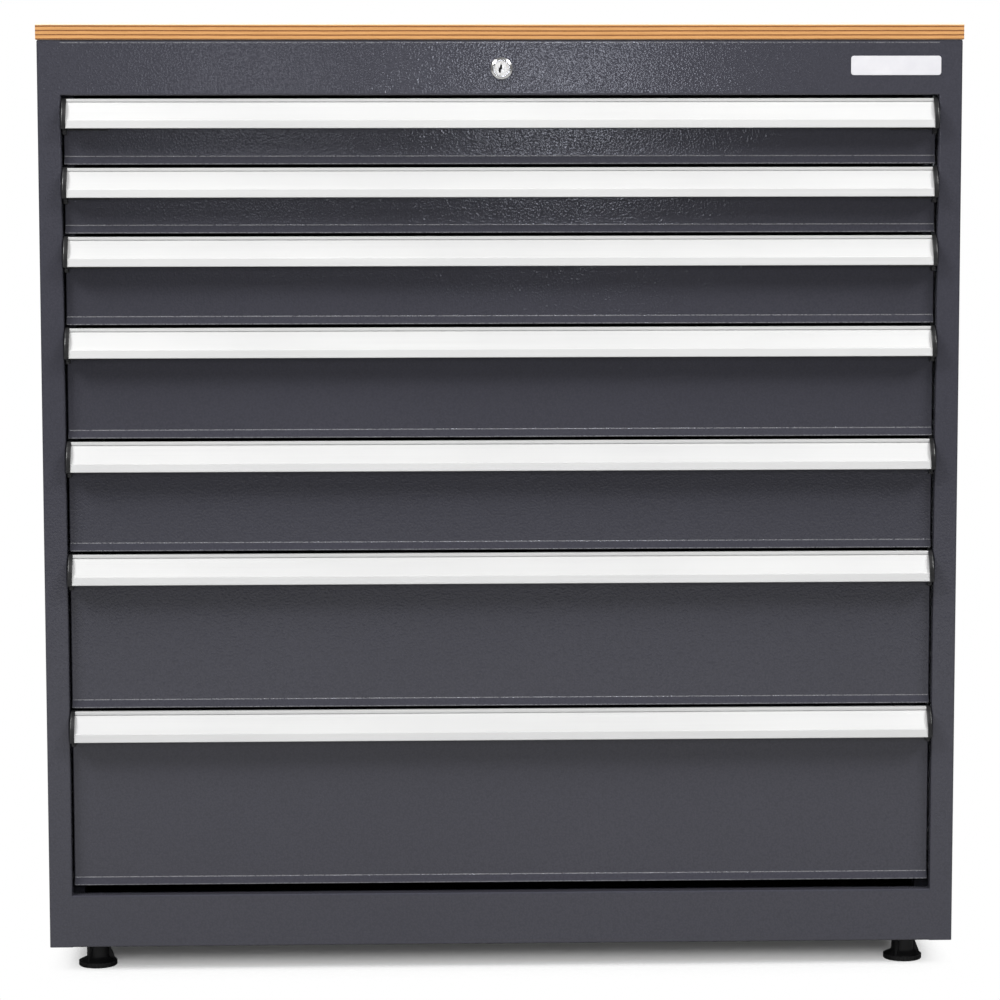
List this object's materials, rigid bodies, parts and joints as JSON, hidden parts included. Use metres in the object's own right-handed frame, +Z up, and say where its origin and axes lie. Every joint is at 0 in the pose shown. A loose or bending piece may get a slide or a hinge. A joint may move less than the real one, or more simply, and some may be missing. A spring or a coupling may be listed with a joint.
{
  "type": "tool cabinet",
  "caption": "Low sheet-steel tool cabinet with full-width grip handles, full-extension drawers, a cylinder lock in the header, a plywood worktop and levelling feet.",
  "frame": {"origin": "on the floor under the middle of the cabinet's bounding box", "axes": "+X to the right as seen from the front, +Y from the front to the back, +Z up"},
  "size_m": [1.012, 0.7378, 1.05],
  "materials": {
    "paint": "fine-textured anthracite powder coat",
    "grip": "satin anodised, pale",
    "black_plastic": "moulded, matt",
    "board": "lacquered birch plywood, plies showing on the edge",
    "zinc_steel": "zinc-plated",
    "chrome": "polished nickel"
  },
  "bodies": {
    "cabinet": {"worktop": "board", "side_left": "paint", "side_right": "paint", "back_panel": "paint", "top_pan": "paint", "base_pan": "paint", "uprights": "paint", "fixed_rails": "zinc_steel", "lock_housing": "chrome", "lock_guides": "black_plastic"},
    "drawer_1": {"drawer_1_front": "paint", "drawer_1_tray": "paint", "drawer_1_handle": "grip", "drawer_1_end_caps": "black_plastic", "drawer_1_rails": "zinc_steel"},
    "drawer_2": {"drawer_2_front": "paint", "drawer_2_tray": "paint", "drawer_2_handle": "grip", "drawer_2_end_caps": "black_plastic", "drawer_2_rails": "zinc_steel"},
    "drawer_3": {"drawer_3_front": "paint", "drawer_3_tray": "paint", "drawer_3_handle": "grip", "drawer_3_end_caps": "black_plastic", "drawer_3_rails": "zinc_steel"},
    "drawer_4": {"drawer_4_front": "paint", "drawer_4_tray": "paint", "drawer_4_handle": "grip", "drawer_4_end_caps": "black_plastic", "drawer_4_rails": "zinc_steel"},
    "drawer_5": {"drawer_5_front": "paint", "drawer_5_tray": "paint", "drawer_5_handle": "grip", "drawer_5_end_caps": "black_plastic", "drawer_5_rails": "zinc_steel"},
    "drawer_6": {"drawer_6_front": "paint", "drawer_6_tray": "paint", "drawer_6_handle": "grip", "drawer_6_end_caps": "black_plastic", "drawer_6_rails": "zinc_steel"},
    "drawer_7": {"drawer_7_front": "paint", "drawer_7_tray": "paint", "drawer_7_handle": "grip", "drawer_7_end_caps": "black_plastic", "drawer_7_rails": "zinc_steel"},
    "slide_1": {"slide_1_mid": "zinc_steel"},
    "slide_2": {"slide_2_mid": "zinc_steel"},
    "slide_3": {"slide_3_mid": "zinc_steel"},
    "slide_4": {"slide_4_mid": "zinc_steel"},
    "slide_5": {"slide_5_mid": "zinc_steel"},
    "slide_6": {"slide_6_mid": "zinc_steel"},
    "slide_7": {"slide_7_mid": "zinc_steel"},
    "lock": {"lock_plug": "chrome", "lock_cam": "zinc_steel"},
    "rod": {"lock_rod": "zinc_steel"},
    "bar": {"lock_bar": "zinc_steel"},
    "foot_front_left": {"foot_front_left": "black_plastic"},
    "foot_front_right": {"foot_front_right": "black_plastic"},
    "foot_rear_left": {"foot_rear_left": "black_plastic"},
    "foot_rear_right": {"foot_rear_right": "black_plastic"}
  },
  "joints": [
    {"name": "drawer_1_pull", "type": "slide", "parent": "cabinet", "child": "drawer_1", "axis": [0, -1, 0], "range_m": [0, 0.6]},
    {"name": "drawer_2_pull", "type": "slide", "parent": "cabinet", "child": "drawer_2", "axis": [0, -1, 0], "range_m": [0, 0.6]},
    {"name": "drawer_3_pull", "type": "slide", "parent": "cabinet", "child": "drawer_3", "axis": [0, -1, 0], "range_m": [0, 0.6]},
    {"name": "drawer_4_pull", "type": "slide", "parent": "cabinet", "child": "drawer_4", "axis": [0, -1, 0], "range_m": [0, 0.6]},
    {"name": "drawer_5_pull", "type": "slide", "parent": "cabinet", "child": "drawer_5", "axis": [0, -1, 0], "range_m": [0, 0.6]},
    {"name": "drawer_6_pull", "type": "slide", "parent": "cabinet", "child": "drawer_6", "axis": [0, -1, 0], "range_m": [0, 0.6]},
    {"name": "drawer_7_pull", "type": "slide", "parent": "cabinet", "child": "drawer_7", "axis": [0, -1, 0], "range_m": [0, 0.6]},
    {"name": "slide_1_glide", "type": "slide", "parent": "cabinet", "child": "slide_1", "axis": [0, -1, 0], "range_m": [0, 0.3]},
    {"name": "slide_2_glide", "type": "slide", "parent": "cabinet", "child": "slide_2", "axis": [0, -1, 0], "range_m": [0, 0.3]},
    {"name": "slide_3_glide", "type": "slide", "parent": "cabinet", "child": "slide_3", "axis": [0, -1, 0], "range_m": [0, 0.3]},
    {"name": "slide_4_glide", "type": "slide", "parent": "cabinet", "child": "slide_4", "axis": [0, -1, 0], "range_m": [0, 0.3]},
    {"name": "slide_5_glide", "type": "slide", "parent": "cabinet", "child": "slide_5", "axis": [0, -1, 0], "range_m": [0, 0.3]},
    {"name": "slide_6_glide", "type": "slide", "parent": "cabinet", "child": "slide_6", "axis": [0, -1, 0], "range_m": [0, 0.3]},
    {"name": "slide_7_glide", "type": "slide", "parent": "cabinet", "child": "slide_7", "axis": [0, -1, 0], "range_m": [0, 0.3]},
    {"name": "lock_turn", "type": "hinge", "parent": "cabinet", "child": "lock", "pos_m": [0, -0.3561, 1.001], "axis": [0, 1, 0], "range_deg": [0, 90]},
    {"name": "rod_shift", "type": "slide", "parent": "cabinet", "child": "rod", "axis": [-1, 0, 0], "range_m": [0, 0.00848]},
    {"name": "bar_lift", "type": "slide", "parent": "cabinet", "child": "bar", "axis": [0, 0, 1], "range_m": [0, 0.00848]},
    {"name": "foot_front_left_screw", "type": "slide", "parent": "cabinet", "child": "foot_front_left", "axis": [0, 0, -1], "range_m": [0, 0.015]},
    {"name": "foot_front_right_screw", "type": "slide", "parent": "cabinet", "child": "foot_front_right", "axis": [0, 0, -1], "range_m": [0, 0.015]},
    {"name": "foot_rear_left_screw", "type": "slide", "parent": "cabinet", "child": "foot_rear_left", "axis": [0, 0, -1], "range_m": [0, 0.015]},
    {"name": "foot_rear_right_screw", "type": "slide", "parent": "cabinet", "child": "foot_rear_right", "axis": [0, 0, -1], "range_m": [0, 0.015]}
  ],
  "couplings": [
    {"joint": "slide_1_glide", "follows": "drawer_1_pull", "ratio": 0.5},
    {"joint": "slide_2_glide", "follows": "drawer_2_pull", "ratio": 0.5},
    {"joint": "slide_3_glide", "follows": "drawer_3_pull", "ratio": 0.5},
    {"joint": "slide_4_glide", "follows": "drawer_4_pull", "ratio": 0.5},
    {"joint": "slide_5_glide", "follows": "drawer_5_pull", "ratio": 0.5},
    {"joint": "slide_6_glide", "follows": "drawer_6_pull", "ratio": 0.5},
    {"joint": "slide_7_glide", "follows": "drawer_7_pull", "ratio": 0.5},
    {"joint": "rod_shift", "follows": "bar_lift", "ratio": 1},
    {"joint": "lock_turn", "follows": "bar_lift", "rad_per_m": 185.13}
  ]
}
